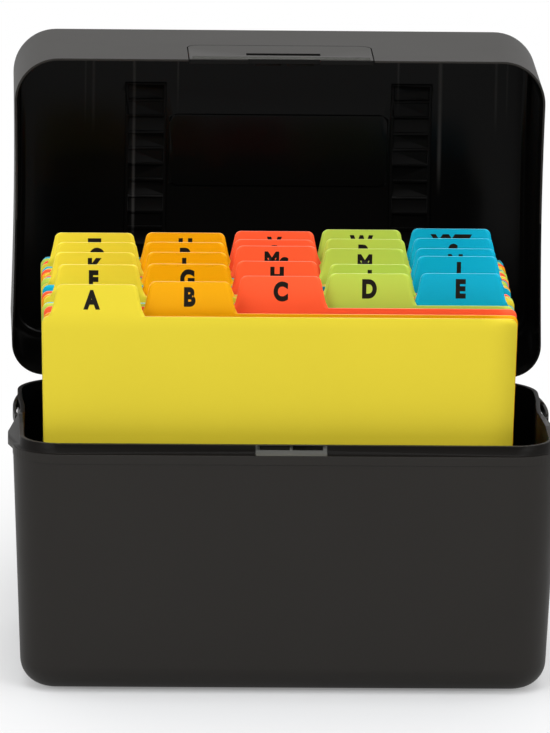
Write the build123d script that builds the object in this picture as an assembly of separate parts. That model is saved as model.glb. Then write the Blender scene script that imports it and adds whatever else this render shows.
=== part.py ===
from build123d import *
import os
from math import atan, cos, degrees, radians, sin, tan

os.makedirs("parts", exist_ok=True)

# Frame: +Z up, width along X, front of the box at -Y, origin on the underside
# of the tray at the middle of its plan. The lid is modelled shut and then
# turned open about the hinge axis, because the box rests with its lid open.

# ---------------------------------------------------------------- sizes, mm
# tray
tray_width = 175.7  # outer width of the walls at the rim
tray_length = 107.0  # outer front-to-back length at the rim
rim_height = 79.5  # height of the ledge that the lid sits on
draft_angle = 2.4  # lean of the tray walls
corner_radius = 15.0  # upright corners, seen from above
tray_wall = 2.2
floor_thickness = 2.2
base_fillet = 9.0  # outer round between walls and underside
inside_fillet = 4.5  # the same round on the inside

# rim of the tray: a ledge for the lid, and a lip that the lid goes round
ledge_depth = 3.0  # thickness of the ledge plate
lip_height = 2.9
lip_thickness = 1.4
lip_side_gap = 0.4  # between lid and lip at the sides
lip_end_gap = 0.9  # between lid and lip at the front
lip_slope = 25.0  # length over which the lip runs down to the ledge at its ends

# side flanges; behind them each side bends inwards, and stays narrower to the back
flange_reach = 1.45
flange_depth = 2.5
flange_start = -44.0  # where it grows out of the front corner
flange_full = -29.0  # where it has its whole reach
bend_front = -22.0  # where the flange starts to turn in
bend_run = 30.0  # from there back to the deepest part of the bend
bend_flat = 7.0  # length of the deepest part
bend_return = 11.0  # from there back to the straight side
bend_depth = 0.7  # how much deeper the bend is than the straight side behind it
bend_round = 20.0
rear_radius = 17.0  # upright corners at the back of the rim
sleeve_depth = 49.0  # how far down the bent wall is carried inside the drafted one

# springy finger outside each bend, fixed at its back end
spring_front = 0.5
spring_middle = 16.0
spring_back = 31.0
spring_inset = 1.0  # of its middle line from the full width
spring_curl = 0.55  # how much nearer the wall its tip is
spring_thickness = 1.0
spring_height = 3.0

# lid
lid_side_inset = 0.15  # lid sides inside the tray wall
lid_inset = 0.3  # lid front and back inside the tray wall
lid_height = 56.0
lid_wall = 1.6
lid_panel = 2.0
lid_edge_fillet = 4.0
lid_rear_radius = 11.0  # upright corners at the hinge
lid_land = 0.7  # what is left of the rim's end face by the bevel inside it
lid_bevel_height = 5.0
lid_seat_gap = 0.3
lid_open_angle = 90.4

# hinge
hinge_rise = 0.9  # axis above the ledge
knuckle_radius = 2.4
knuckle_width = 12.0
hinge_spacing = 100.0  # between the middles of the two hinges
ear_width = 4.0
hinge_side_gap = 0.35
hinge_round_gap = 0.4
pin_radius = 1.0
pin_clearance = 0.05
ear_web = 9.0  # how far the ears run down the back wall
stop_width = 6.0
stop_reach = 4.6
stop_gap = 0.35
stop_web = 7.0
stop_lead = 0.2  # start of the stop behind the hinge axis
stop_offset = 17.0  # from the middle of a hinge

# latch flap in the front of the lid
latch_offset = 1.1  # the catch sits this far right of the middle
flap_offset = 0.2  # and the flap round it this far
flap_width = 60.4
flap_height = 25.0
flap_round = 4.0
flap_gap = 0.4
slot_width = 24.4
slot_height = 6.0
slot_rise = 5.5  # bottom of the slot above the rim
thumb_margin = 1.0  # from each side of the flap to its thumb ridge
thumb_reach = 0.7
thumb_height = 2.6
thumb_rise = 1.6
flap_notch_height = 1.2  # lifts the flap's edge over the keeper's ramp
flap_notch_gap = 0.4
tooth_width = 8.8
tooth_height = 0.9
tooth_reach = 0.6
tooth_rise = 1.3  # bottom of a tooth above the rim

# keeper on the front lip
keeper_width = 22.9
window_width = 9.6
window_height = 1.5
window_rise = 1.3
window_depth = 0.9
window_pitch = 10.6
ramp_reach = 2.4
ramp_height = 1.1

# inside of the lid panel: ladder tracks and a raised label field
inside_shift = 1.6  # the field and ladders sit this far right of the middle
ladder_centre = 44.75
ladder_width = 12.7
ladder_front = -35.0
ladder_back = 41.0
ladder_pitch = 5.45
rib_width = 1.0
rib_height = 0.7
label_width = 73.6
label_length = 24.2
label_centre = -12.3
label_rise = 0.8
label_round = 3.0
label_recess = 0.7

# guides
guide_thickness = 0.5
guide_height = 129.5  # bottom edge to top of tab
guide_top_width = 152.4  # at the shoulders
guide_bottom_width = 147.0
guide_corner = 2.4
tab_height = 10.3
tab_top_width = 25.3
tab_pitch = 29.3
tab_corner = 2.2
tab_root = 1.2
guide_lean = 2.88  # degrees back from upright
guide_stand = 0.1  # above the floor
first_guide = -37.0  # Y of the first guide's top edge
guide_shift = -2.35  # the stack stands this far left of the middle
guide_sway = 0.35  # how unevenly the stack is knocked up
guide_skew = 0.5  # how far right of the front the back of the stack stands
guide_swing = 1.9  # radians of sway from one guide to the next

# one letter group for each guide, front to back; tabs repeat every five
guide_names = "a b c d e f g h i j k l mc m n o p q r s t u v w xyz".split()
tabs_in_row = 5

# how far each guide stands behind the first, in the order of its letters
guide_places = [
    0.0, 5.1, 14.0, 18.6, 19.7, 29.1, 31.0, 36.0, 32.3, 45.1, 47.3, 48.4, 58.8,
    55.6, 56.8, 62.4, 63.5, 68.4, 70.3, 72.2, 77.0, 78.1, 81.3, 84.6, 87.0,
]

# ------------------------------------------------------------ worked out
half_width = tray_width / 2
half_length = tray_length / 2
lip_top = rim_height + lip_height
ledge_bottom = rim_height - ledge_depth
lid_half_width = half_width - lid_side_inset
lid_half_length = half_length - lid_inset
lid_radius = corner_radius - lid_inset
lid_bottom = rim_height + lid_seat_gap
lid_top = lid_bottom + lid_height
panel_underside = lid_top - lid_panel
lip_half_width = lid_half_width - lid_wall - lip_side_gap
lip_half_length = lid_half_length - lid_wall - lip_end_gap
lip_radius = lid_radius - lid_wall - lip_end_gap
hinge_y = half_length
hinge_z = rim_height + hinge_rise
wall_spread = rim_height * tan(radians(draft_angle))
hinge_middles = (-hinge_spacing / 2, hinge_spacing / 2)
reach = 400.0  # longer than anything here, for cutting away


def rounded_plate(half_x, half_y, radius, bottom, top, taper=0.0):
    """A block with round upright corners, widening upwards by taper degrees."""
    outline = Pos(0, 0, bottom) * RectangleRounded(2 * half_x, 2 * half_y, radius)
    return extrude(outline, amount=top - bottom, taper=-taper)


def span_box(x0, x1, y0, y1, z0, z1):
    """A box between two opposite corners."""
    size = (abs(x1 - x0), abs(y1 - y0), abs(z1 - z0))
    middle = ((x0 + x1) / 2, (y0 + y1) / 2, (z0 + z1) / 2)
    return Pos(*middle) * Box(*size)


def rod_along_x(x0, x1, y, z, radius):
    """A round rod along X between x0 and x1."""
    middle = ((x0 + x1) / 2, y, z)
    return Pos(*middle) * Rot(0, 90, 0) * Cylinder(radius, abs(x1 - x0))


def save(node, solid):
    """Write one node under its own name."""
    solid.label = node
    export_step(solid, "parts/" + node + ".step")


# ---------------------------------------------------------------- tray
def tray_shell():
    """The drafted block with a round base, and the bin that is left of it."""
    foot_x = half_width - wall_spread
    foot_y = half_length - wall_spread
    foot_radius = corner_radius - wall_spread
    outer = rounded_plate(foot_x, foot_y, foot_radius, 0, rim_height, draft_angle)
    outer = fillet(outer.faces().sort_by(Axis.Z)[0].edges(), base_fillet)
    floor_spread = (rim_height - floor_thickness) * tan(radians(draft_angle))
    inner = rounded_plate(
        half_width - tray_wall - floor_spread,
        half_length - tray_wall - floor_spread,
        corner_radius - tray_wall - floor_spread,
        floor_thickness,
        rim_height,
        draft_angle,
    )
    inner = fillet(inner.faces().sort_by(Axis.Z)[0].edges(), inside_fillet)
    return outer, outer - inner


def tray_rim():
    """Ledge plate with side flanges, and the lip that stands on it."""
    ledge = rounded_plate(half_width, half_length, corner_radius, ledge_bottom, rim_height)
    right = [
        (half_width - tray_wall, flange_start),
        (half_width + flange_reach, flange_full),
        (half_width + flange_reach, bend_front),
        (half_width, bend_front + bend_run),
        (half_width - tray_wall, bend_front + bend_run),
    ]
    left = [(-x, y) for x, y in reversed(right)]
    flange_plan = make_face(Polyline(*right, *left, close=True))
    flange = extrude(
        Pos(0, 0, rim_height - flange_depth) * flange_plan, flange_depth
    )
    lip = rounded_plate(lip_half_width, lip_half_length, lip_radius, ledge_bottom, lip_top)
    inside = rounded_plate(
        lip_half_width - lip_thickness,
        lip_half_length - lip_thickness,
        lip_radius - lip_thickness,
        0,
        lip_top,
    )
    return ledge + flange + lip - lip_run_out() - inside


def lip_run_out():
    """What is cut from the lip so that it runs down to the ledge and stops."""
    profile = Polyline(
        (bend_front, lip_top),
        (bend_front + lip_slope, rim_height),
        (reach, rim_height),
        (reach, lip_top + lip_height),
        (bend_front, lip_top + lip_height),
        close=True,
    )
    return extrude(Plane.YZ.offset(-reach) * make_face(profile), 2 * reach)


def bent_plan(inset):
    """The back part of the rim from above: each side bends in, and the corners are round."""
    side = lip_half_width - inset
    deep = side - bend_depth
    deep_start = bend_front + bend_run
    deep_end = deep_start + bend_flat
    straight_start = deep_end + bend_return
    right = [
        (half_width + flange_reach - inset, bend_front),
        (deep, deep_start),
        (deep, deep_end),
        (side, straight_start),
        (side, half_length - inset),
    ]
    left = [(-x, y) for x, y in reversed(right)]
    plan = make_face(Polyline(*right, *left, close=True))
    rows = plan.vertices().group_by(Axis.Y)
    plan = fillet(rows[-1], rear_radius - inset)
    rows = plan.vertices().group_by(Axis.Y)
    bends = rows[1] + rows[2] + rows[3]
    return fillet(bends, bend_round)


def outside_bends():
    """Everything outside the bent sides, from the flanges to the back."""
    block = span_box(-reach, reach, bend_front, reach, 0, reach)
    return block - extrude(bent_plan(0), 2 * reach)


def bent_sleeve(block):
    """The wall that carries the rim along the bent sides, inside the drafted block."""
    ring = bent_plan(0) - bent_plan(lip_thickness)
    sleeve = extrude(Pos(0, 0, rim_height - sleeve_depth) * ring, sleeve_depth)
    front = span_box(-reach, reach, -reach, bend_front + lip_thickness, 0, reach)
    return sleeve - front & block


def side_spring(side):
    """A springy finger that bows out beside the bend and joins the wall behind it."""
    middle_x = half_width - spring_inset
    root_x = lip_half_width - lip_thickness / 2
    line = ThreePointArc(
        (root_x, spring_back),
        (middle_x, spring_middle),
        (middle_x - spring_curl, spring_front),
    )
    strip = trace(line, spring_thickness)
    spring = extrude(Pos(0, 0, rim_height - spring_height) * strip, spring_height)
    return spring if side > 0 else mirror(spring, Plane.YZ)


def hinge_ears(middle):
    """Two ears on the back wall that carry one hinge pin."""
    ears = None
    inner = knuckle_width / 2 + hinge_side_gap
    for side in (-1, 1):
        x0 = middle + side * inner
        x1 = x0 + side * ear_width
        barrel = rod_along_x(x0, x1, hinge_y, hinge_z, knuckle_radius)
        profile = Polyline(
            (hinge_y - tray_wall / 2, hinge_z),
            (hinge_y + knuckle_radius, hinge_z),
            (hinge_y - tray_wall / 2, hinge_z - ear_web),
            close=True,
        )
        web = extrude(Plane.YZ.offset(min(x0, x1)) * make_face(profile), ear_width)
        ear = barrel + web
        ears = ear if ears is None else ears + ear
    return ears


def lid_stop(x_middle):
    """A rib on the back wall that the open lid comes to rest on."""
    lid_fall = stop_reach * sin(radians(lid_open_angle - 90))
    top = hinge_z + lid_inset - lid_fall - stop_gap
    profile = Polyline(
        (hinge_y + stop_lead, top),
        (hinge_y + stop_reach, top),
        (hinge_y - tray_wall / 2, top - stop_web),
        (hinge_y - tray_wall / 2, rim_height - stop_lead),
        (hinge_y + stop_lead, rim_height - stop_lead),
        close=True,
    )
    start = x_middle - stop_width / 2
    return extrude(Plane.YZ.offset(start) * make_face(profile), stop_width)


def keeper():
    """The catch on the front lip: a frame with two windows over a ramp."""
    lip_front = -lip_half_length
    frame = span_box(
        latch_offset - keeper_width / 2,
        latch_offset + keeper_width / 2,
        lip_front,
        lip_front + lip_thickness,
        rim_height,
        lip_top,
    )
    profile = Polyline(
        (lip_front, rim_height),
        (lip_front - ramp_reach, rim_height),
        (lip_front, rim_height + ramp_height),
        close=True,
    )
    start = latch_offset - keeper_width / 2
    ramp = extrude(Plane.YZ.offset(start) * make_face(profile), keeper_width)
    return frame + ramp


def keeper_windows():
    """The two windows that the latch teeth snap into."""
    cutters = None
    for side in (-1, 1):
        middle = latch_offset + side * window_pitch / 2
        window = span_box(
            middle - window_width / 2,
            middle + window_width / 2,
            -lip_half_length - 2 * ramp_reach,
            -lip_half_length + window_depth,
            rim_height + window_rise,
            rim_height + window_rise + window_height,
        )
        cutters = window if cutters is None else cutters + window
    return cutters


def make_tray():
    block, bin_walls = tray_shell()
    body = bin_walls + tray_rim() - outside_bends() + bent_sleeve(block)
    for side in (-1, 1):
        body += side_spring(side)
    body = body + keeper() - keeper_windows()
    clear_radius = knuckle_radius + hinge_round_gap
    for middle in hinge_middles:
        half = knuckle_width / 2 + hinge_side_gap
        body -= rod_along_x(middle - half, middle + half, hinge_y, hinge_z, clear_radius)
        body += hinge_ears(middle)
        bore = knuckle_width / 2 + hinge_side_gap + ear_width
        body -= rod_along_x(
            middle - bore, middle + bore, hinge_y, hinge_z, pin_radius + pin_clearance
        )
        inward = -1 if middle > 0 else 1
        body += lid_stop(middle + inward * stop_offset)
    return body


# ---------------------------------------------------------------- lid
def lid_plate(inset, bottom, top, taper=0.0):
    """A block with the lid's outline, whose corners are tighter at the hinge."""
    width = 2 * (lid_half_width - inset)
    length = 2 * (lid_half_length - inset)
    outline = Rectangle(width, length)
    rows = outline.vertices().group_by(Axis.Y)
    outline = fillet(rows[0], lid_radius - inset)
    rows = outline.vertices().group_by(Axis.Y)
    outline = fillet(rows[-1], lid_rear_radius - inset)
    return extrude(Pos(0, 0, bottom) * outline, amount=top - bottom, taper=-taper)


def lid_shell():
    """The shut lid: a rounded tray turned over, open below."""
    outer = lid_plate(0, lid_bottom, lid_top)
    outer = fillet(outer.faces().sort_by(Axis.Z)[-1].edges(), lid_edge_fillet)
    inner = lid_plate(lid_wall, lid_bottom, panel_underside)
    inner_fillet = lid_edge_fillet - lid_wall
    inner = fillet(inner.faces().sort_by(Axis.Z)[-1].edges(), inner_fillet)
    bevel_angle = degrees(atan((lid_wall - lid_land) / lid_bevel_height))
    bevel = lid_plate(lid_land, lid_bottom, lid_bottom + lid_bevel_height, -bevel_angle)
    return outer - inner - bevel


def ladder(side):
    """One ladder of low ribs under the lid panel."""
    centre = inside_shift + side * ladder_centre
    bottom = panel_underside - rib_height
    half = ladder_width / 2
    ribs = None
    for edge in (centre - half, centre + half):
        rail = span_box(
            edge - rib_width / 2,
            edge + rib_width / 2,
            ladder_front,
            ladder_back,
            bottom,
            panel_underside,
        )
        ribs = rail if ribs is None else ribs + rail
    rungs = int((ladder_back - ladder_front) / ladder_pitch) + 1
    for rung in range(rungs):
        y = ladder_front + rung * ladder_pitch
        ribs += span_box(
            centre - half, centre + half, y, y + rib_width, bottom, panel_underside
        )
    return ribs


def label_field(half_x, half_y, bottom, top):
    """A rounded rectangle over the middle of the lid panel."""
    block = rounded_plate(half_x, half_y, label_round, bottom, top)
    return Pos(inside_shift, label_centre, 0) * block


def flap_outline(grow):
    """The latch flap's outline in the front wall, grown all round."""
    half = flap_width / 2 + grow
    height = flap_height + grow
    radius = flap_round + grow
    middle_z = lid_bottom + height / 2
    plate = Pos(flap_offset, 0, middle_z) * Box(2 * half, reach, height)
    corners = plate.edges().filter_by(Axis.Y).group_by(Axis.Z)[-1]
    plate = fillet(corners, radius)
    front = span_box(
        -reach, reach, -lid_half_length - lid_wall, -lid_half_length + lid_wall, 0, reach
    )
    return plate & front


def lid_knuckles():
    """The lid's half of each hinge, before it is bored."""
    knuckles = None
    half = knuckle_width / 2
    for middle in hinge_middles:
        barrel = rod_along_x(middle - half, middle + half, hinge_y, hinge_z, knuckle_radius)
        root = span_box(
            middle - half,
            middle + half,
            lid_half_length - lid_wall,
            hinge_y,
            hinge_z,
            hinge_z + knuckle_radius,
        )
        part = barrel + root
        knuckles = part if knuckles is None else knuckles + part
    return knuckles


def make_lid():
    body = lid_shell()
    body += label_field(
        label_width / 2, label_length / 2, panel_underside - label_rise, panel_underside
    )
    body -= label_field(
        label_width / 2 - label_rise,
        label_length / 2 - label_rise,
        lid_top - label_recess,
        lid_top,
    )
    for side in (-1, 1):
        body += ladder(side)
    body -= flap_outline(flap_gap)
    clear_radius = knuckle_radius + hinge_round_gap
    inner = knuckle_width / 2
    outer = inner + ear_width + 2 * hinge_side_gap
    for middle in hinge_middles:
        for side in (-1, 1):
            x0 = middle + side * inner
            x1 = middle + side * outer
            body -= rod_along_x(x0, x1, hinge_y, hinge_z, clear_radius)
    body += lid_knuckles()
    for middle in hinge_middles:
        body -= rod_along_x(
            middle - outer, middle + outer, hinge_y, hinge_z, pin_radius + pin_clearance
        )
    return body


def make_flap():
    """The springy flap in the lid's front, with its slot and two teeth."""
    front = -lid_half_length
    back = front + lid_wall
    body = flap_outline(0) & span_box(-reach, reach, front, back, 0, reach)
    thumb_half = flap_width / 2 - thumb_margin
    thumb = span_box(
        flap_offset - thumb_half,
        flap_offset + thumb_half,
        front - thumb_reach,
        front,
        lid_bottom + thumb_rise,
        lid_bottom + thumb_rise + thumb_height,
    )
    body += thumb
    body -= span_box(
        latch_offset - slot_width / 2,
        latch_offset + slot_width / 2,
        front - reach,
        back + reach,
        lid_bottom + slot_rise,
        lid_bottom + slot_rise + slot_height,
    )
    notch_half = keeper_width / 2 + flap_notch_gap
    body -= span_box(
        latch_offset - notch_half,
        latch_offset + notch_half,
        front - reach,
        back + reach,
        lid_bottom - reach,
        lid_bottom + flap_notch_height,
    )
    for side in (-1, 1):
        middle = latch_offset + side * window_pitch / 2
        body += span_box(
            middle - tooth_width / 2,
            middle + tooth_width / 2,
            back,
            back + tooth_reach,
            lid_bottom + tooth_rise,
            lid_bottom + tooth_rise + tooth_height,
        )
    return body


def opened(solid):
    """Turn a shut-lid piece back about the hinge axis."""
    axis = Axis((0, hinge_y, hinge_z), (1, 0, 0))
    return solid.rotate(axis, -lid_open_angle)


# ---------------------------------------------------------------- guides
def guide_outline(column):
    """One guide's face: a body that narrows downwards, with a tab."""
    shoulder = guide_height - tab_height
    row_half = tabs_in_row * tab_pitch / 2 + guide_corner
    half_top = max(guide_top_width / 2, row_half)
    half_bottom = half_top - (guide_top_width - guide_bottom_width) / 2
    middle = (column - (tabs_in_row - 1) / 2) * tab_pitch
    body = make_face(
        Polyline(
            (-half_bottom, 0),
            (half_bottom, 0),
            (half_top, shoulder),
            (-half_top, shoulder),
            close=True,
        )
    )
    body = fillet(body.vertices(), guide_corner)
    half_base = tab_pitch / 2
    half_tip = tab_top_width / 2
    tab = make_face(
        Polyline(
            (middle - half_base, shoulder - tab_root),
            (middle + half_base, shoulder - tab_root),
            (middle + half_base, shoulder),
            (middle + half_tip, guide_height),
            (middle - half_tip, guide_height),
            (middle - half_base, shoulder),
            close=True,
        )
    )
    tips = tab.vertices().group_by(Axis.Y)[-1]
    tab = fillet(tips, tab_corner)
    return body + tab


def make_guide(index):
    """Guide number index, standing in the tray and leaning back."""
    plate = extrude(guide_outline(index % tabs_in_row), guide_thickness)
    upright = Rot(90, 0, 0) * plate
    leaning = Rot(-guide_lean, 0, 0) * upright
    lean = radians(guide_lean)
    top_y = first_guide + guide_places[index]
    back_share = guide_places[index] / guide_places[-1]
    x = guide_shift + guide_skew * back_share - guide_sway * cos(guide_swing * index)
    y = top_y - guide_height * sin(lean)
    z = floor_thickness + guide_stand + guide_thickness * sin(lean)
    return Pos(x, y, z) * leaning


# ---------------------------------------------------------------- pieces
save("tray", make_tray())
save("lid", opened(make_lid()))
save("latch_flap", opened(make_flap()))

pin_half = knuckle_width / 2 + hinge_side_gap + ear_width
for name, middle in zip(("hinge_pin_left", "hinge_pin_right"), hinge_middles):
    pin = rod_along_x(middle - pin_half, middle + pin_half, hinge_y, hinge_z, pin_radius)
    save(name, pin)

for index, letters in enumerate(guide_names):
    save("divider_" + letters, make_guide(index))
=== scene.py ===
import math

import bmesh
import bpy
import numpy as np
from mathutils import Matrix, Vector


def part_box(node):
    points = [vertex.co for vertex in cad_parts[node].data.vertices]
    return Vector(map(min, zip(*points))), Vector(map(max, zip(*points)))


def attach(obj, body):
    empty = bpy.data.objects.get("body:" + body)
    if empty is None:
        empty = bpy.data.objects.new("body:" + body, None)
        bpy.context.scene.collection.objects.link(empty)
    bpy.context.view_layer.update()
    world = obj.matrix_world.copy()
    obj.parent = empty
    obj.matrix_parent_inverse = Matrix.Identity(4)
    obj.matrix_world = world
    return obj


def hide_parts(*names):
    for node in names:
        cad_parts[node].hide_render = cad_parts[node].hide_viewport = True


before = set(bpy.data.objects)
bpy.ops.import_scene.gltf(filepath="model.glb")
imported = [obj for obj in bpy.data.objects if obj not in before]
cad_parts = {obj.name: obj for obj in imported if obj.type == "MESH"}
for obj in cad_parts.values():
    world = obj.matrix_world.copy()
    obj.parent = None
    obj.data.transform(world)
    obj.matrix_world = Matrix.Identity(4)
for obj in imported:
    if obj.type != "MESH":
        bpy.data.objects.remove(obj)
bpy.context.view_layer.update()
print("frame loaded", len(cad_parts), "nodes")

mm = 0.001


class Wire:
    # wraps a node socket, so that shader maths reads as Python sums

    def __init__(self, graph, out):
        self.graph = graph
        self.out = out

    def sum(self, operation, *values):
        return self.graph.node("ShaderNodeMath", {"operation": operation}, values)

    def __add__(self, other):
        return self.sum("ADD", self, other)

    __radd__ = __add__

    def __mul__(self, other):
        return self.sum("MULTIPLY", self, other)

    __rmul__ = __mul__

    def __sub__(self, other):
        return self.sum("SUBTRACT", self, other)

    def __rsub__(self, other):
        return self.sum("SUBTRACT", other, self)

    def __truediv__(self, other):
        return self.sum("DIVIDE", self, other)

    def __gt__(self, other):
        return self.sum("GREATER_THAN", self, other)

    def __lt__(self, other):
        return self.sum("LESS_THAN", self, other)


class Graph:
    # one material's or world's node tree

    def __init__(self, tree):
        self.tree = tree
        tree.nodes.clear()

    def node(self, kind, settings=None, inputs=(), output=0):
        made = self.tree.nodes.new(kind)
        for key, value in (settings or {}).items():
            if key == "stops":
                self.stops(made, value)
            else:
                setattr(made, key, value)
        pairs = inputs.items() if isinstance(inputs, dict) else enumerate(inputs)
        for key, value in pairs:
            if isinstance(value, Wire):
                self.tree.links.new(value.out, made.inputs[key])
            else:
                made.inputs[key].default_value = value
        return Wire(self, made.outputs[output]) if len(made.outputs) else made

    def stops(self, ramp, places):
        while len(ramp.color_ramp.elements) < len(places):
            ramp.color_ramp.elements.new(0.5)
        for element, (place, colour) in zip(ramp.color_ramp.elements, places):
            element.position = place
            element.color = (*colour, 1)

    def smooth(self, value, low, high, start=0.0, end=1.0):
        # smooth step of value from low to high
        return self.node(
            "ShaderNodeMapRange",
            {"interpolation_type": "SMOOTHSTEP"},
            {"Value": value, "From Min": low, "From Max": high, "To Min": start, "To Max": end},
        )

    def blendColour(self, factor, a, b, mode="MIX"):
        return self.node(
            "ShaderNodeMix",
            {"data_type": "RGBA", "blend_type": mode},
            {0: factor, 6: a, 7: b},
            output=2,
        )

    def noise(self, coords, scale, detail):
        settings = {"Vector": coords, "Scale": scale, "Detail": detail}
        return self.node("ShaderNodeTexNoise", {}, settings)

    def bump(self, height, distance, strength, normal=None):
        inputs = {"Strength": strength, "Distance": distance, "Height": height}
        if normal is not None:
            inputs["Normal"] = normal
        return self.node("ShaderNodeBump", {}, inputs)

    def place(self):
        # the piece's own coordinates in metres, and each of the three
        coords = self.node("ShaderNodeTexCoord", output=3)
        split = self.tree.nodes.new("ShaderNodeSeparateXYZ")
        self.tree.links.new(coords.out, split.inputs[0])
        return coords, [Wire(self, out) for out in split.outputs]


def newMaterial(name):
    material = bpy.data.materials.new(name)
    material.use_nodes = True
    return material, Graph(material.node_tree)


def finishMaterial(graph, shader):
    graph.node("ShaderNodeOutputMaterial", {}, {"Surface": shader})


mouldedFinishes = {
    # two colours that a faint cloud mixes, roughness, specular, depth of the grain
    # and, where a finish has them, the depth of its flow lines and the painted reflection
    # streaks
    "satin": {
        "colours": ((0.0120, 0.0105, 0.0089, 1), (0.0143, 0.0127, 0.0109, 1)),
        "rough": 0.50,
        "specular": 0.20,
        "grain": 0.000006,
    },
    # smoother than satin, and its darker colour is painted shade inside the lid and under the
    # flap
    "polished": {
        "colours": ((0.0030, 0.0029, 0.0027, 1), (0.0040, 0.0038, 0.0035, 1)),
        "rough": 0.13,
        "specular": 0.07,
        "grain": 0.000001,
        "flow": 0.00016,
        "paintedReflections": True,
    },
    # painted shade: a colour darker than satin's, for the tray's inside and the lid's ladder
    # pockets
    "hollow": {
        "colours": ((0.0026, 0.0025, 0.0024, 1), (0.0034, 0.0032, 0.0030, 1)),
        "rough": 0.30,
        "specular": 0.05,
        "grain": 0.000002,
        "paintedReflections": True,
    },
    # painted shade: a colour darker than satin's, for the rim round the ledge and the sides of
    # the lip
    "rimBlack": {
        "colours": ((0.0052, 0.0046, 0.0040, 1), (0.0066, 0.0058, 0.0052, 1)),
        "rough": 0.36,
        "specular": 0.05,
        "grain": 0.000003,
    },
    # paler than satin: the front of the catch and the flap's thumb ridge
    "rubbed": {
        "colours": ((0.058, 0.058, 0.053, 1), (0.068, 0.068, 0.062, 1)),
        "rough": 0.55,
        "specular": 0.20,
        "grain": 0.000006,
    },
}


plasticTexture = {
    "cloudScale": 28.0,
    "grainScale": 2600.0,
    "grainStrength": 0.35,
    "roughChange": 0.05,
    "edgeRadius": 0.4 * mm,
    # the flow lines are long in z: scale along x, y and z
    "flowScale": (70.0, 4.0, 2.0),
    "ior": 1.5,
}

paintedReflectionStreaks = {
    # painted reflections: upright pale streaks painted inside the lid's panel: x, half width,
    # lower end, strength
    "marks": (
        (-63.1 * mm, 0.5 * mm, 160 * mm, 0.5),
        (-60.4 * mm, 0.8 * mm, 157 * mm, 0.5),
        (-46.8 * mm, 0.8 * mm, 118 * mm, 0.8),
        (-32.2 * mm, 0.5 * mm, 165 * mm, 0.6),
        (41.5 * mm, 0.6 * mm, 165 * mm, 0.6),
        (55.6 * mm, 1.0 * mm, 138 * mm, 1.0),
        (74.3 * mm, 0.7 * mm, 158 * mm, 0.7),
        (78.0 * mm, 0.5 * mm, 162 * mm, 0.5),
    ),
    "fade": 9 * mm,
    "panel": 104 * mm,
    "colour": (0.060, 0.057, 0.054, 1),
}


def paintedStreakShare(graph, x, y, z):
    # 0 to 1: how far the colour turns to the painted reflection streaks' pale colour
    share = 0
    for place, half, low, strength in paintedReflectionStreaks["marks"]:
        aside = graph.node("ShaderNodeMath", {"operation": "ABSOLUTE"}, [x - place])
        along = graph.smooth(z, low - paintedReflectionStreaks["fade"], low + paintedReflectionStreaks["fade"])
        share = graph.smooth(aside, 0, half, strength, 0) * along + share
    return share * (y > paintedReflectionStreaks["panel"])


def makeMoulded(name, finish):
    # moulded black plastic: a faint cloud in the colour, a fine grain and, where a finish has
    # them, painted reflection streaks
    material, graph = newMaterial("moulded_" + name)
    coords, (x, y, z) = graph.place()
    cloud = graph.noise(coords, plasticTexture["cloudScale"], 3.0)
    grain = graph.noise(coords, plasticTexture["grainScale"], 2.0)
    edgeRadius = plasticTexture["edgeRadius"]
    rounded = graph.node("ShaderNodeBevel", {"samples": 4}, {"Radius": edgeRadius})
    if "flow" in finish:
        # upright flow lines, which break a reflection into streaks
        upright = graph.node(
            "ShaderNodeVectorMath",
            {"operation": "MULTIPLY"},
            [coords, plasticTexture["flowScale"]],
        )
        lines = graph.node("ShaderNodeTexNoise", {}, {"Vector": upright, "Scale": 1.0})
        rounded = graph.bump(lines, finish["flow"], 1.0, rounded)
    bump = graph.bump(grain, finish["grain"], plasticTexture["grainStrength"], rounded)
    colour = graph.blendColour(cloud, *finish["colours"])
    # painted reflections: pale streaks mixed into the colour
    if finish.get("paintedReflections"):
        share = paintedStreakShare(graph, x, y, z)
        colour = graph.blendColour(share, colour, paintedReflectionStreaks["colour"])
    shader = graph.node(
        "ShaderNodeBsdfPrincipled",
        {},
        {
            "Base Color": colour,
            "Roughness": finish["rough"] + cloud * plasticTexture["roughChange"],
            "IOR": plasticTexture["ior"],
            "Specular IOR Level": finish["specular"],
            "Normal": bump,
        },
    )
    finishMaterial(graph, shader)
    return material


guideColours = {
    "yellow_poly": (0.71, 0.575, 0.034, 1),
    "orange_poly": (0.79, 0.352, 0.001, 1),
    "coral_poly": (0.92, 0.108, 0.034, 1),
    "lime_poly": (0.435, 0.575, 0.072, 1),
    "cyan_poly": (0.002, 0.35, 0.52, 1),
}

guideFinish = {
    "rough": 0.42,
    "specular": 0.12,
    "roughChange": 0.06,
    "flowScale": 22.0,
    "grainScale": 900.0,
    "grainStrength": 0.2,
    "deepShare": 0.94,
    "paleEdge": 0.45,
    "paleTone": 0.9,
    # painted light: the tabs' colour is lightened, from the front row to the ones behind it
    "tabFrom": 116.0 * mm,
    "tabTo": 124.0 * mm,
    "tabFront": -38.0 * mm,
    "tabBack": -8.0 * mm,
    "tabPaintedLight": 0.12,
    "tabPaintedLightBehind": 0.27,
    "grainDepth": 0.00002,
}


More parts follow.
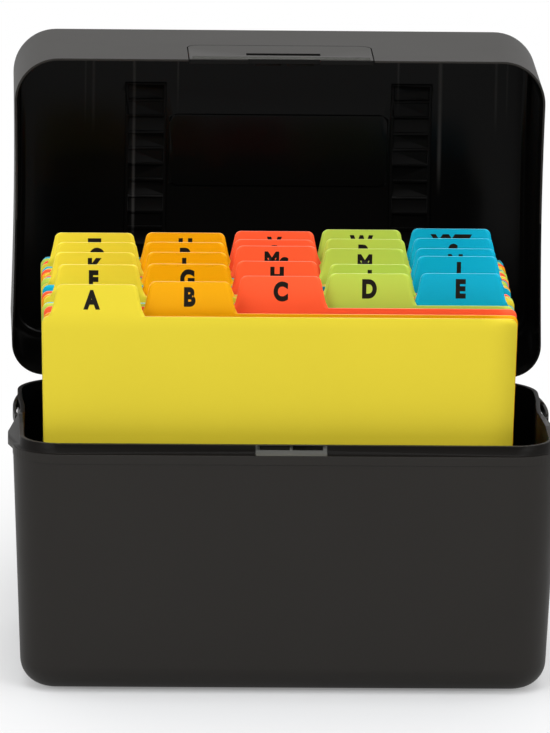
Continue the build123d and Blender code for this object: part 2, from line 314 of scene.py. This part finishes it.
def makeGuideSheet(name, colour, edge=0.0):
    # smooth sheet plastic: a faint flow pattern, paler where it is cut, and painted light that
    # lightens the tabs
    material, graph = newMaterial(name)
    coords, (x, y, z) = graph.place()
    flow = graph.noise(coords, guideFinish["flowScale"], 4.0)
    grain = graph.noise(coords, guideFinish["grainScale"], 2.0)
    paleTone = guideFinish["paleTone"]
    deep = tuple(c * guideFinish["deepShare"] for c in colour[:3]) + (1,)
    pale = tuple(c + (paleTone - c) * edge for c in colour[:3]) + (1,)
    # painted light: the tabs' colour is lightened, those behind the first row most of all
    onTab = graph.smooth(z, guideFinish["tabFrom"], guideFinish["tabTo"])
    least, most = guideFinish["tabPaintedLight"], guideFinish["tabPaintedLightBehind"]
    front, behind = guideFinish["tabFront"], guideFinish["tabBack"]
    paintedTabLight = 1 + onTab * graph.smooth(y, front, behind, least, most)
    paintedBrightening = graph.node("ShaderNodeCombineXYZ", {}, [paintedTabLight, paintedTabLight, paintedTabLight])
    sheet = graph.blendColour(1.0, graph.blendColour(flow, deep, pale), paintedBrightening, "MULTIPLY")
    bump = graph.bump(grain, guideFinish["grainDepth"], guideFinish["grainStrength"])
    shader = graph.node(
        "ShaderNodeBsdfPrincipled",
        {},
        {
            "Base Color": sheet,
            "Roughness": guideFinish["rough"] + flow * guideFinish["roughChange"],
            "Specular IOR Level": guideFinish["specular"],
            "Normal": bump,
        },
    )
    finishMaterial(graph, shader)
    return material


inkFinish = {
    "colours": ((0.006, 0.005, 0.003, 1), (0.012, 0.010, 0.007, 1)),
    "wearScale": 1500.0,
    "rough": 0.5,
    "roughChange": 0.1,
    "specular": 0.1,
}


def makeInk(name):
    # black print, a little worn
    material, graph = newMaterial(name)
    coords, _ = graph.place()
    wear = graph.noise(coords, inkFinish["wearScale"], 3.0)
    shader = graph.node(
        "ShaderNodeBsdfPrincipled",
        {},
        {
            "Base Color": graph.blendColour(wear, *inkFinish["colours"]),
            "Roughness": inkFinish["rough"] + wear * inkFinish["roughChange"],
            "Specular IOR Level": inkFinish["specular"],
        },
    )
    finishMaterial(graph, shader)
    return material


steelFinish = {
    "colour": (0.5, 0.5, 0.49, 1),
    "grainScale": 1800.0,
    "rough": 0.28,
    "roughChange": 0.15,
}


def makeSteel(name):
    material, graph = newMaterial(name)
    coords, _ = graph.place()
    turned = graph.noise(coords, steelFinish["grainScale"], 2.0)
    shader = graph.node(
        "ShaderNodeBsdfPrincipled",
        {},
        {
            "Base Color": steelFinish["colour"],
            "Metallic": 1.0,
            "Roughness": steelFinish["rough"] + turned * steelFinish["roughChange"],
        },
    )
    finishMaterial(graph, shader)
    return material


def gridMesh(name, points, faces=None):
    # points is rows x columns x 3; neighbours in the grid share a face
    rows, columns = points.shape[:2]
    index = np.arange(rows * columns).reshape(rows, columns)
    corners = (index[:-1, :-1], index[:-1, 1:], index[1:, 1:], index[1:, :-1])
    quads = np.stack(corners, axis=-1)
    if faces is not None:
        quads = quads[faces]
    quads = quads.reshape(-1, 4)
    used = np.unique(quads)
    renumber = np.zeros(rows * columns, int)
    renumber[used] = np.arange(len(used))
    mesh = bpy.data.meshes.new(name)
    mesh.from_pydata(points.reshape(-1, 3)[used].tolist(), [], renumber[quads].tolist())
    mesh.update()
    piece = bpy.data.objects.new(name, mesh)
    bpy.context.scene.collection.objects.link(piece)
    return piece


def smoothShade(piece):
    piece.data.polygons.foreach_set("use_smooth", [True] * len(piece.data.polygons))


guide = {
    "height": 129.5 * mm,
    "topWidth": 152.4 * mm,
    "bottomWidth": 147.0 * mm,
    "corner": 2.4 * mm,
    "tabHeight": 10.3 * mm,
    "tabTop": 25.3 * mm,
    "tabPitch": 29.3 * mm,
    "tabFoot": 29.6 * mm,
    "tabFlare": 0.6 * mm,
    "tabCorner": 1.6 * mm,
    "thickness": 0.5 * mm,
    "lean": 2.88,
    "bow": 0.25 * mm,
    "slimmer": 0.96,
    # faces: along a rounded corner, up the sheet and the tab, across the tab and beside it
    "cornerSteps": 7,
    "bodySteps": 22,
    "tabSteps": 6,
    "acrossSteps": 21,
    "besideSteps": 12,
    "flareDecay": 9,
    # every sheet bows by its own share: middle + change * sin(phase * index)
    "bowMiddle": 0.6,
    "bowChange": 0.4,
    "bowPhase": 2.3,
    "capHeight": 0.729,
    "letterHeight": 5.8 * mm,
    "letterNarrow": 0.80,
    "letterBold": 0.06,
    "letterLift": 0.03 * mm,
    "letterRise": 2.65 * mm,
    "letterAside": {"a": -1.7 * mm, "f": -1.5 * mm},
}

guideLetters = {
    "a": "A", "b": "B", "c": "C", "d": "D", "e": "E", "f": "F", "g": "G", "h": "H",
    "i": "I", "j": "J", "k": "K", "l": "L", "mc": "Mc", "m": "M", "n": "N", "o": "O",
    "p": "P", "q": "Q", "r": "R", "s": "S", "t": "T", "u": "U", "v": "V", "w": "W",
    "xyz": "XYZ",
}
rowColours = ["yellow_poly", "orange_poly", "coral_poly", "lime_poly", "cyan_poly"]


def roundedHalf(half, fromEdge, radius):
    # half width near a rounded corner: half - r + sqrt(r^2 - (r - d)^2), d from the edge
    d = np.clip(fromEdge, 0, radius)
    return half - radius + np.sqrt(np.maximum(radius**2 - (radius - d) ** 2, 0))


def guideSurface(column):
    # one sheet on a grid: below the shoulder every column is used and its x runs from
    # edge to edge; above it only the tab's columns are, between the tab's slanted sides
    shoulder = guide["height"] - guide["tabHeight"]
    arc = 1 - np.cos(np.linspace(0, math.pi / 2, guide["cornerSteps"]))
    low = arc * guide["corner"]
    high = shoulder - low[::-1]
    between = np.linspace(low[-1], high[0], guide["bodySteps"])[1:-1]
    body = np.concatenate([low, between, high])
    tip = guide["height"] - (arc * guide["tabCorner"])[::-1]
    tab = np.concatenate([np.linspace(shoulder, tip[0], guide["tabSteps"])[1:-1], tip])
    heights = np.concatenate([body, tab])[:, None]
    middle = (column - 2) * guide["tabPitch"]
    across = np.linspace(-1, 1, guide["acrossSteps"])[None, :]
    share = np.clip(heights / shoulder, 0, 1)
    half = (guide["bottomWidth"] + (guide["topWidth"] - guide["bottomWidth"]) * share) / 2
    half = roundedHalf(half, heights, guide["corner"])
    half = np.where(
        heights <= shoulder, roundedHalf(half, shoulder - heights, guide["corner"]), half
    )
    rise = np.clip((heights - shoulder) / guide["tabHeight"], 0, 1)
    tabHalf = guide["tabFoot"] / 2 + (guide["tabTop"] - guide["tabFoot"]) / 2 * rise
    tabHalf = tabHalf + guide["tabFlare"] * np.exp(-rise * guide["flareDecay"])
    tabHalf = roundedHalf(tabHalf, guide["height"] - heights, guide["tabCorner"])
    tabX = middle + across * tabHalf
    steps = np.linspace(0, 1, guide["besideSteps"])[None, :]
    leftX = -half + (tabX[:, :1] + half) * steps[:, :-1]
    rightX = tabX[:, -1:] + (half - tabX[:, -1:]) * steps[:, 1:]
    x = np.concatenate([leftX, tabX, rightX], axis=1)
    z = np.broadcast_to(heights, x.shape)
    used = np.ones((x.shape[0] - 1, x.shape[1] - 1), bool)
    beside = guide["besideSteps"] - 1
    used[len(body) - 1:, :beside] = False
    used[len(body) - 1:, -beside:] = False
    return x, z, used


def makeGuide(node, index):
    # the sheet leans back and bows: bow * cos(pi x / width) * sin(pi z / height)
    name = node.replace("divider_", "")
    low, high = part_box(node)
    x, z, used = guideSurface(index % 5)
    lean = math.radians(guide["lean"])
    centreX = (low.x + high.x) / 2
    bowed = guide["bow"] * np.cos(x / guide["topWidth"] * math.pi) * np.sin(
        np.clip(z / guide["height"], 0, 1) * math.pi
    )
    bowed *= guide["bowMiddle"] + guide["bowChange"] * math.sin(index * guide["bowPhase"])
    y = high.y - (guide["height"] - z) * math.sin(lean) - guide["thickness"] / 2 - bowed
    up = high.z - guide["height"] * math.cos(lean) + z * math.cos(lean)
    piece = gridMesh("guide_" + name, np.stack([x + centreX, y, up], axis=-1), used)
    thick = piece.modifiers.new("sheet", "SOLIDIFY")
    thick.thickness = guide["thickness"] * guide["slimmer"]
    thick.offset = 0
    thick.material_offset_rim = 1
    colour = rowColours[index % 5]
    piece.data.materials.append(sheetMaterials[colour])
    piece.data.materials.append(edgeMaterials[colour])
    smoothShade(piece)
    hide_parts(node)
    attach(piece, node)
    makeLetters(node, name, index, centreX, high)


def makeLetters(node, name, index, centreX, high):
    # the letters as flat meshes, just clear of the tab's face
    lean = math.radians(guide["lean"])
    curve = bpy.data.curves.new("letters", "FONT")
    curve.body = guideLetters[name]
    curve.align_x = "CENTER"
    curve.size = 1.0
    curve.offset = guide["letterBold"]
    curve.extrude = 0.0
    curve.resolution_u = 6
    words = bpy.data.objects.new("letters", curve)
    bpy.context.scene.collection.objects.link(words)
    bpy.context.view_layer.update()
    mesh = bpy.data.meshes.new_from_object(words)
    bpy.data.objects.remove(words)
    flat = np.empty(len(mesh.vertices) * 3)
    mesh.vertices.foreach_get("co", flat)
    flat = flat.reshape(-1, 3)
    scale = guide["letterHeight"] / guide["capHeight"]
    middle = (flat[:, 0].min() + flat[:, 0].max()) / 2
    x = (flat[:, 0] - middle) * scale * guide["letterNarrow"]
    rise = flat[:, 1] * scale + guide["letterRise"]
    fromTop = guide["tabHeight"] - rise
    place = np.empty_like(flat)
    aside = guide["letterAside"].get(name, 0)
    place[:, 0] = centreX + (index % 5 - 2) * guide["tabPitch"] + x + aside
    place[:, 1] = high.y - fromTop * math.sin(lean) - guide["thickness"] - guide["letterLift"]
    place[:, 2] = high.z - fromTop * math.cos(lean)
    mesh.vertices.foreach_set("co", place.reshape(-1))
    mesh.update()
    piece = bpy.data.objects.new("letters_" + name, mesh)
    bpy.context.scene.collection.objects.link(piece)
    piece.data.materials.clear()
    piece.data.materials.append(ink)
    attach(piece, node)


sheetMaterials = {n: makeGuideSheet("sheet_" + n, c) for n, c in guideColours.items()}
edgeMaterials = {
    n: makeGuideSheet("edge_" + n, c, guideFinish["paleEdge"])
    for n, c in guideColours.items()
}
ink = makeInk("letter_ink")
for index, name in enumerate(guideLetters):
    makeGuide("divider_" + name, index)
print("guides made")


moulded = {name: makeMoulded(name, finish) for name, finish in mouldedFinishes.items()}
finishNames = list(mouldedFinishes)
steel = makeSteel("pin_steel")


def dress(node, material):
    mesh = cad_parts[node].data
    mesh.materials.clear()
    mesh.materials.append(material)


lidShape = {
    # the long sides' bow, and the heights it runs between in so many slices
    "bow": 0.9 * mm,
    "low": 84 * mm,
    "high": 190 * mm,
    "slices": 14,
    # the middle of the lid, of its panel's thickness, and what is inside by its place
    "middle": 136 * mm,
    "panelMiddle": 107.7 * mm,
    "insideFrom": 60 * mm,
    "coreHalf": 84 * mm,
    "coreHeight": 49 * mm,
    "coreFrom": 90 * mm,
    "ladderFrom": 100 * mm,
    "ladderShift": 1.6 * mm,
    "ladder": 44.75 * mm,
    "ladderHalf": 7.0 * mm,
    "ladderTop": 168.8 * mm,
}


def bowLid(place):
    # the long sides bow in: x shrinks by the bow * sin(pi * share of the height)
    share = (place[:, 2] - lidShape["low"]) / (lidShape["high"] - lidShape["low"])
    half = np.abs(place[:, 0]).max()
    place[:, 0] *= 1 - lidShape["bow"] / half * np.sin(np.clip(share, 0, 1) * math.pi)
    return place


def lidFinish(centre, normal):
    # polished, with a darker colour that is painted shade, where a face looks at the middle of
    # the lid; satin elsewhere
    x, y, z = centre.T
    above = z - lidShape["middle"]
    inward = normal[:, 0] * x + normal[:, 2] * above
    facesOut = (normal[:, 1] < -0.5) & (y > lidShape["insideFrom"])
    core = (np.abs(x) < lidShape["coreHalf"]) & (y > lidShape["coreFrom"])
    core &= np.abs(above) < lidShape["coreHeight"]
    inside = (y < lidShape["panelMiddle"]) & ((inward < 0) | facesOut | core)
    finish = np.where(inside, finishNames.index("polished"), finishNames.index("satin"))
    # the ladders are duller than the panel round them, and their pockets get a little painted
    # shade
    fromLadder = np.abs(np.abs(x - lidShape["ladderShift"]) - lidShape["ladder"])
    ladder = inside & (fromLadder < lidShape["ladderHalf"]) & (y > lidShape["ladderFrom"])
    ladder &= z < lidShape["ladderTop"]
    return np.where(ladder, finishNames.index("hollow"), finish)


flap = {
    "slotMiddle": 1.1 * mm,
    "slotHalf": 12.4 * mm,
    "slotFrom": 58.5 * mm,
    "slotTo": 67 * mm,
    "edgeTo": 58 * mm,
    "ridgeFrom": 187.0 * mm,
}


def flapFinish(centre, normal):
    # painted shade: the underside and the walls of the slot get the dark polished colour
    x, y, z = centre.T
    slotWall = (np.abs(x - flap["slotMiddle"]) < flap["slotHalf"]) & (normal[:, 2] < 0.5)
    slotWall &= (y > flap["slotFrom"]) & (y < flap["slotTo"])
    inside = (normal[:, 2] < -0.5) | slotWall
    # the thumb ridge is paler, and the flap's edge below it gets painted shade
    toFront = (normal[:, 1] < -0.5) & (y < flap["edgeTo"])
    ridge = toFront & (z > flap["ridgeFrom"])
    edge = toFront & ~ridge
    finish = np.where(inside | edge, finishNames.index("polished"), finishNames.index("satin"))
    return np.where(ridge, finishNames.index("rubbed"), finish)


catch = {"left": -10.35 * mm, "right": 12.55 * mm, "front": -50.6 * mm}
rim = {
    "ledge": 79.5 * mm,
    "lipTop": 82.4 * mm,
    "floor": 9.0 * mm,
    "half": 86.5 * mm,
    "edgeHeight": 3.2 * mm,
    "margin": 0.05 * mm,
}


def trayFinish(centre, normal):
    # painted shade: a colour darker than satin's where a face looks at the middle of the tray
    # and along the rim; paler on the front of the catch
    x, y, z = centre.T
    inward = normal[:, 0] * x + normal[:, 1] * y
    inside = (inward < -1e-6) | ((normal[:, 2] > 0.3) & (z < rim["floor"]))
    finish = np.where(inside, finishNames.index("hollow"), finishNames.index("satin"))
    top = (z > rim["ledge"] - rim["margin"]) & (np.abs(x) < rim["half"])
    finish = np.where(top, finishNames.index("rimBlack"), finish)
    edge = (z > rim["ledge"] - rim["edgeHeight"]) & (normal[:, 2] > 0.5)
    finish = np.where(edge, finishNames.index("rimBlack"), finish)
    lipTop = (z > rim["lipTop"] - rim["margin"]) & (normal[:, 2] > 0.9)
    finish = np.where(lipTop, finishNames.index("satin"), finish)
    onCatch = (x > catch["left"]) & (x < catch["right"]) & (z > rim["ledge"])
    onCatch &= (y < catch["front"]) & (normal[:, 1] < -0.2)
    return np.where(onCatch, finishNames.index("rubbed"), finish)


pieceShading = {
    "merge": 0.001 * mm,
    "sharpAngle": 26,
    "flatWeight": 90,
}


def makeMouldedPiece(node, body, chooseFinish, reshape=None, cuts=()):
    # the CAD piece merged, its faces cut at planes, reshaped and finished face by face
    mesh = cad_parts[node].data.copy()
    shape = bmesh.new()
    shape.from_mesh(mesh)
    bmesh.ops.remove_doubles(shape, verts=shape.verts, dist=pieceShading["merge"])
    for point, across in cuts:
        parts = list(shape.verts) + list(shape.edges) + list(shape.faces)
        bmesh.ops.bisect_plane(shape, geom=parts, plane_co=point, plane_no=across)
    shape.to_mesh(mesh)
    shape.free()
    if reshape is not None:
        flat = np.empty(len(mesh.vertices) * 3)
        mesh.vertices.foreach_get("co", flat)
        mesh.vertices.foreach_set("co", reshape(flat.reshape(-1, 3)).reshape(-1))
    mesh.update()
    mesh.shade_smooth()
    mesh.set_sharp_from_angle(angle=math.radians(pieceShading["sharpAngle"]))
    centre = np.empty(len(mesh.polygons) * 3)
    normal = np.empty(len(mesh.polygons) * 3)
    mesh.polygons.foreach_get("center", centre)
    mesh.polygons.foreach_get("normal", normal)
    mesh.materials.clear()
    for name in finishNames:
        mesh.materials.append(moulded[name])
    finish = chooseFinish(centre.reshape(-1, 3), normal.reshape(-1, 3))
    mesh.polygons.foreach_set("material_index", finish.astype(np.int32))
    piece = bpy.data.objects.new("moulded_" + node, mesh)
    bpy.context.scene.collection.objects.link(piece)
    flatten = piece.modifiers.new("flat_faces", "WEIGHTED_NORMAL")
    flatten.keep_sharp = True
    flatten.weight = pieceShading["flatWeight"]
    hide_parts(node)
    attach(piece, body)


catchCuts = [((catch[side], 0, 0), (1, 0, 0)) for side in ("left", "right")]
makeMouldedPiece("tray", "box", trayFinish, cuts=catchCuts)
heights = np.linspace(lidShape["low"], lidShape["high"], lidShape["slices"])[1:-1]
lidCuts = [((0, 0, height), (0, 0, 1)) for height in heights]
makeMouldedPiece("lid", "lid", lidFinish, bowLid, lidCuts)
makeMouldedPiece("latch_flap", "latch", flapFinish)
dress("hinge_pin_left", steel)
dress("hinge_pin_right", steel)
print("box and lid dressed")


photo = {"width": 550, "height": 733}
shot = {
    # the point aimed at and the distance in metres, angles in degrees, and the focal
    # length and the photograph's optical centre in its pixels
    "aim": (0, 0, 75 * mm),
    "distance": 3.0,
    "azimuth": 2.31,
    "elevation": 13.59,
    "roll": 0.9,
    "focal": 9221.0,
    "centreX": 281.83,
    "centreY": 430.55,
    "sensor": 36.0,
    "farthest": 50.0,
}


def placeCamera():
    # seen from the aim at this azimuth and elevation, rolled about the line of sight
    azimuth = math.radians(shot["azimuth"])
    elevation = math.radians(shot["elevation"])
    roll = math.radians(shot["roll"])
    forward = Vector(
        (
            math.sin(azimuth) * math.cos(elevation),
            math.cos(azimuth) * math.cos(elevation),
            -math.sin(elevation),
        )
    )
    right = Vector((math.cos(azimuth), -math.sin(azimuth), 0))
    up = right.cross(forward)
    turnedRight = right * math.cos(roll) + up * math.sin(roll)
    turnedUp = up * math.cos(roll) - right * math.sin(roll)
    place = Vector(shot["aim"]) - forward * shot["distance"]
    # turn the camera a little, so that the photograph's middle is its own middle
    aside = (photo["width"] / 2 - shot["centreX"]) / shot["focal"]
    above = (shot["centreY"] - photo["height"] / 2) / shot["focal"]
    ahead = (forward + turnedRight * aside + turnedUp * above).normalized()
    cameraRight = ahead.cross(turnedUp).normalized()
    cameraUp = cameraRight.cross(ahead)
    data = bpy.data.cameras.new("photo_camera")
    data.sensor_fit = "HORIZONTAL"
    data.sensor_width = shot["sensor"]
    data.lens = shot["focal"] * data.sensor_width / photo["width"]
    data.clip_end = shot["farthest"]
    camera = bpy.data.objects.new("photo_camera", data)
    bpy.context.scene.collection.objects.link(camera)
    turn = Matrix((cameraRight, cameraUp, -ahead)).transposed().to_4x4()
    camera.matrix_world = Matrix.Translation(place) @ turn
    bpy.context.scene.camera = camera


placeCamera()


def seenRays(graph, path):
    # 1 for the rays that show the background: camera, glossy and transmission
    wanted = ("Is Camera Ray", "Is Glossy Ray", "Is Transmission Ray")
    camera, glossy, through = [Wire(graph, path.outputs[name]) for name in wanted]
    return graph.node(
        "ShaderNodeMath", {"operation": "MINIMUM"}, [camera + glossy + through, 1.0]
    )


surroundings = {
    # dim in front and white from behind; height counts for a share
    "dim": 0.10,
    "heightShare": 0.35,
    "from": -0.25,
    "to": 0.55,
}


def makeWorld():
    # white all round for what the camera sees; what the object sees is white behind
    # and overhead, and dim on the camera's side
    world = bpy.data.worlds.new("studio")
    bpy.context.scene.world = world
    world.use_nodes = True
    graph = Graph(world.node_tree)
    path = graph.tree.nodes.new("ShaderNodeLightPath")
    camera = seenRays(graph, path)
    coords = graph.node("ShaderNodeTexCoord", output=0)
    split = graph.tree.nodes.new("ShaderNodeSeparateXYZ")
    graph.tree.links.new(coords.out, split.inputs[0])
    back = Wire(graph, split.outputs[1])
    high = Wire(graph, split.outputs[2])
    direction = back + high * surroundings["heightShare"]
    start, end = surroundings["from"], surroundings["to"]
    around = graph.smooth(direction, start, end, surroundings["dim"], 1.0)
    strength = around + camera * (1 - around)
    shader = graph.node(
        "ShaderNodeBackground", {}, {"Color": (1, 1, 1, 1), "Strength": strength}
    )
    graph.node("ShaderNodeOutputWorld", {}, {"Surface": shader})


floorFinish = {
    "colours": ((0.62, 0.625, 0.635, 1), (0.635, 0.64, 0.65, 1)),
    "fadeStart": 0.13,
    "fadeEnd": 0.36,
    # painted light: the least share of white glow over the floor near the object, lightening
    # its shadow; sideways stretches the glow's oval so that the sides turn white sooner
    "least": 0.22,
    "sideways": 2.3,
    "half": 6.0,
    "below": 0.2 * mm,
    "mottleScale": 3.0,
    "rough": 0.9,
    "specular": 0.1,
}


def makeFloor():
    # pale near the object, so that it keeps the shadow, which a share of white glow lightens as
    # painted light; pure white further out
    corner = np.linspace(-floorFinish["half"], floorFinish["half"], 13)
    x, y = np.meshgrid(corner, corner)
    level = np.full_like(x, -floorFinish["below"])
    floor = gridMesh("floor", np.stack([x, y, level], axis=-1))
    material, graph = newMaterial("pale_floor")
    coords, _ = graph.place()
    path = graph.tree.nodes.new("ShaderNodeLightPath")
    camera = seenRays(graph, path)
    stretch = (floorFinish["sideways"], 1.0, 1.0)
    oval = graph.node("ShaderNodeVectorMath", {"operation": "MULTIPLY"}, [coords, stretch])
    far = graph.node("ShaderNodeVectorMath", {"operation": "LENGTH"}, [oval], output=1)
    mottled = graph.noise(coords, floorFinish["mottleScale"], 2.0)
    paper = graph.node(
        "ShaderNodeBsdfPrincipled",
        {},
        {
            "Base Color": graph.blendColour(mottled, *floorFinish["colours"]),
            "Roughness": floorFinish["rough"],
            "Specular IOR Level": floorFinish["specular"],
        },
    )
    white = graph.node(
        "ShaderNodeEmission", {}, {"Color": (1, 1, 1, 1), "Strength": 1.0}
    )
    start, end = floorFinish["fadeStart"], floorFinish["fadeEnd"]
    fade = graph.smooth(far, start, end, floorFinish["least"], 1.0) * camera
    finishMaterial(graph, graph.node("ShaderNodeMixShader", {}, [fade, paper, white]))
    floor.data.materials.append(material)


lamps = {
    # name: (place, aim, size, size along, power in watts)
    "overhead": ((0.0, -0.25, 1.25), (0.0, 0.02, 0.08), 1.1, 0.8, 11.0),
    "frontLeft": ((-1.0, -1.4, 1.15), (0.0, 0.0, 0.10), 0.9, 0.9, 14.5),
    "frontRight": ((1.1, -1.4, 1.25), (0.0, 0.0, 0.10), 0.9, 0.9, 14.5),
}


def makeLamps():
    for name, (place, aim, size, along, power) in lamps.items():
        data = bpy.data.lights.new(name, "AREA")
        data.shape = "RECTANGLE"
        data.size = size
        data.size_y = along
        data.energy = power
        lamp = bpy.data.objects.new(name, data)
        bpy.context.scene.collection.objects.link(lamp)
        lamp.location = place
        toward = Vector(aim) - Vector(place)
        lamp.rotation_euler = toward.to_track_quat("-Z", "Y").to_euler()


makeWorld()
makeFloor()
makeLamps()
bpy.context.scene.view_settings.view_transform = "Standard"
print("studio set up")

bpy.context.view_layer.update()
